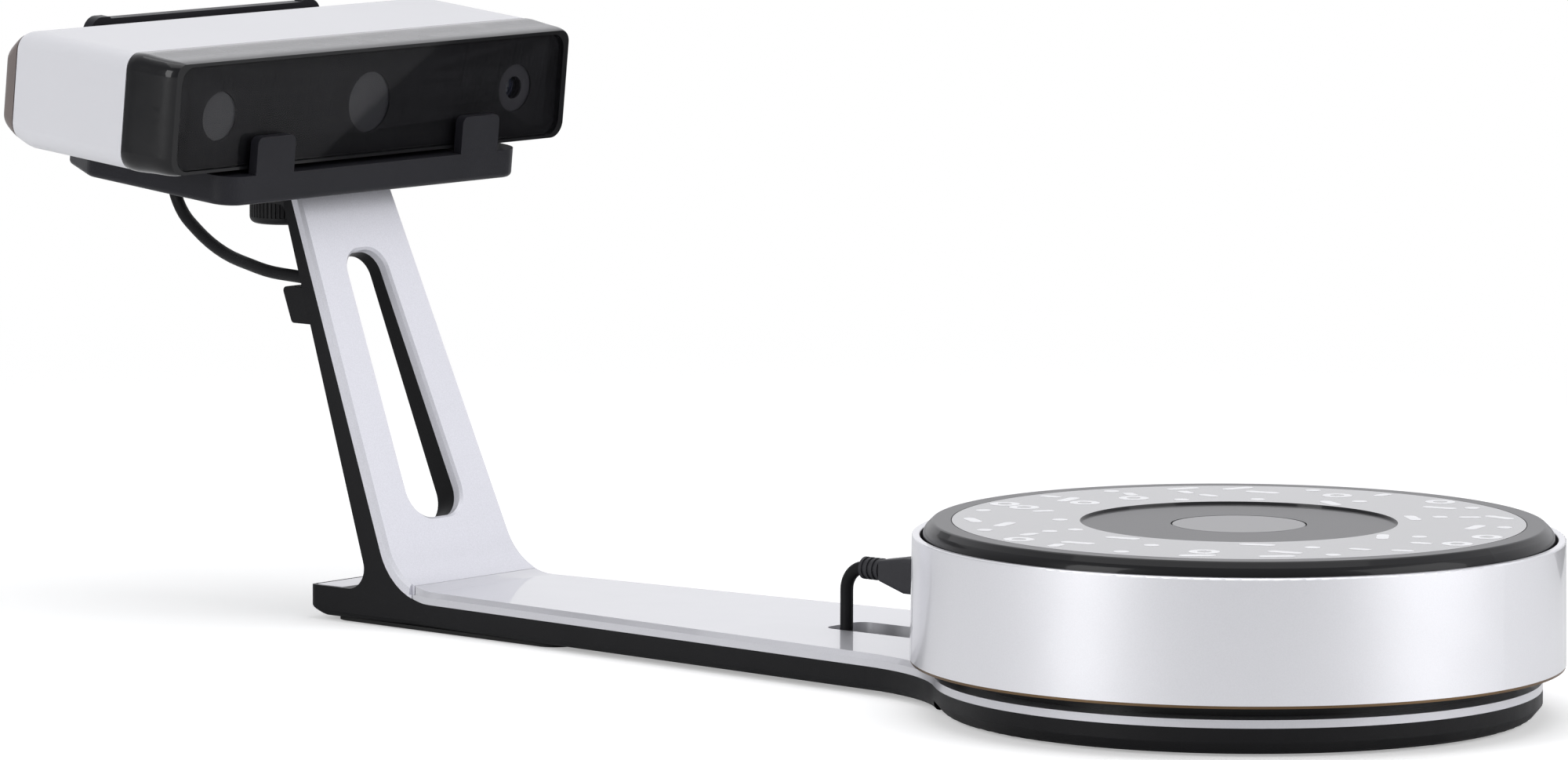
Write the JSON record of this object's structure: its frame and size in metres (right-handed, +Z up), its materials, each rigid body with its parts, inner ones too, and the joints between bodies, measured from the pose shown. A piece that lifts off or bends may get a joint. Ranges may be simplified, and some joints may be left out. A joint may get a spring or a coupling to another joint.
{
  "type": "desktop 3d scanner",
  "caption": "Desktop 3D scanner: a wide sensor head held on a leaning slotted arm looks down over a long base strip at a round drum turntable, joined by one cable.",
  "frame": {"origin": "centre of the whole object's footprint box, on the table top", "axes": "+X from the head towards the turntable, which is the way the head looks; +Y to the head's left as it looks; +Z up. The turntable's axis is upright at x = 0.1869 m, y = 0."},
  "size_m": [0.5888, 0.215, 0.207],
  "materials": {
    "black_case": "fine-grained black moulding",
    "silver_cover": "satin silver pressing",
    "soft_pad": "soft anti-slip rubber",
    "steel": "plain steel",
    "screw_steel": "blackened steel screws",
    "drum_silver": "silver lacquer on a moulded wall",
    "drum_black": "satin black drum floor",
    "drum_bronze": "dark bronze line",
    "platter_grey": "charcoal turntable top",
    "marker_grey": "glossy dark grey ring with light marks",
    "cap_grey": "charcoal cap",
    "bronze": "bearing bronze",
    "bearing_steel": "polished bearing steel",
    "white_nylon": "natural nylon",
    "motor_can": "zinc-plated can",
    "board_green": "green circuit board",
    "socket_metal": "tinned socket shell",
    "gloss_black": "polished black front",
    "clear_glass": "smoked clear window",
    "mask_black": "printed black sheet",
    "head_white": "satin white-silver housing",
    "rear_brown": "brown-grey moulding",
    "frame_aluminium": "milled aluminium",
    "barrel_black": "black anodised barrel",
    "lens_glass": "coated lens",
    "engine_black": "light engine housing",
    "fan_black": "fan plastic",
    "button_grey": "grey button",
    "jack_black": "jack body",
    "cradle_black": "satin black holder",
    "brass": "brass insert",
    "knob_black": "fluted black knob",
    "cable_black": "black cable sheath",
    "plug_grey": "dark grey moulded plug"
  },
  "bodies": {
    "stand": {"stand_body": "black_case", "deck_cover": "silver_cover", "arm_front_cover": "silver_cover", "rear_deck_cover": "silver_cover", "rear_foot_plate": "soft_pad", "base_stiffener": "steel", "ballast_plate": "steel", "rubber_feet": "soft_pad", "stand_screws": "screw_steel", "cable_clip": "black_case", "drum_shell": "drum_silver", "drum_trim": "drum_bronze", "drum_base": "drum_black", "spindle": "steel", "retaining_clip": "steel", "lower_race": "bearing_steel", "drive_motor": "motor_can", "turntable_board": "board_green", "link_socket": "socket_metal", "front_bezel": "gloss_black", "cover_glass": "clear_glass", "window_mask": "mask_black", "head_shell": "head_white", "rear_cover": "rear_brown", "optics_frame": "frame_aluminium", "camera_barrels": "barrel_black", "camera_lenses": "lens_glass", "camera_boards": "board_green", "projector_barrel": "barrel_black", "projector_lens": "lens_glass", "projector_engine": "engine_black", "heat_sink": "frame_aluminium", "fan_frame": "fan_black", "main_board": "board_green", "usb_port": "socket_metal", "power_port": "jack_black", "link_port": "jack_black", "button_switch": "jack_black", "head_screws": "screw_steel", "cradle": "cradle_black", "cradle_pads": "soft_pad", "cradle_insert": "brass", "link_cable": "cable_black", "head_plug": "plug_grey", "drum_plug": "plug_grey", "drum_plug_tip": "socket_metal"},
    "platter": {"platter": "platter_grey", "marker_ring": "marker_grey", "centre_cap": "cap_grey", "spindle_bush": "bronze", "upper_race": "bearing_steel", "ring_gear": "white_nylon"},
    "bearing": {"bearing_balls": "bearing_steel", "ball_cage": "white_nylon"},
    "pinion": {"motor_pinion": "steel"},
    "fan": {"fan_rotor": "fan_black"},
    "button": {"power_button": "button_grey"},
    "washer": {"thumb_washer": "steel"},
    "knob": {"thumb_knob": "knob_black", "thumb_stud": "steel"}
  },
  "joints": [
    {"name": "platter_spin", "type": "hinge", "parent": "stand", "child": "platter", "pos_m": [0.1869, 0, 0.06], "axis": [0, 0, 1], "continuous": true},
    {"name": "bearing_spin", "type": "hinge", "parent": "stand", "child": "bearing", "pos_m": [0.1869, 0, 0.054], "axis": [0, 0, 1], "continuous": true},
    {"name": "pinion_spin", "type": "hinge", "parent": "stand", "child": "pinion", "pos_m": [0.22065, 0.05846, 0.057], "axis": [0, 0, 1], "continuous": true},
    {"name": "fan_spin", "type": "hinge", "parent": "stand", "child": "fan", "pos_m": [-0.25619, 0, 0.18396], "axis": [0.9951, 0, -0.0993], "continuous": true},
    {"name": "power_press", "type": "slide", "parent": "stand", "child": "button", "axis": [0.9951, 0, -0.0993], "range_m": [0, 0.0012], "stiffness_N_per_m": 300, "springref_m": -0.0008},
    {"name": "knob_drop", "type": "slide", "parent": "stand", "child": "washer", "axis": [0, 0, 1], "range_m": [-0.00508, 0]},
    {"name": "knob_turn", "type": "hinge", "parent": "washer", "child": "knob", "pos_m": [-0.2363, 0, 0.137], "axis": [0, 0, 1], "range_deg": [-1440, 0]}
  ],
  "couplings": [
    {"joint": "bearing_spin", "follows": "platter_spin", "ratio": 0.5},
    {"joint": "pinion_spin", "follows": "platter_spin", "ratio": -8},
    {"joint": "knob_drop", "follows": "knob_turn", "m_per_rad": 0.00020213}
  ]
}
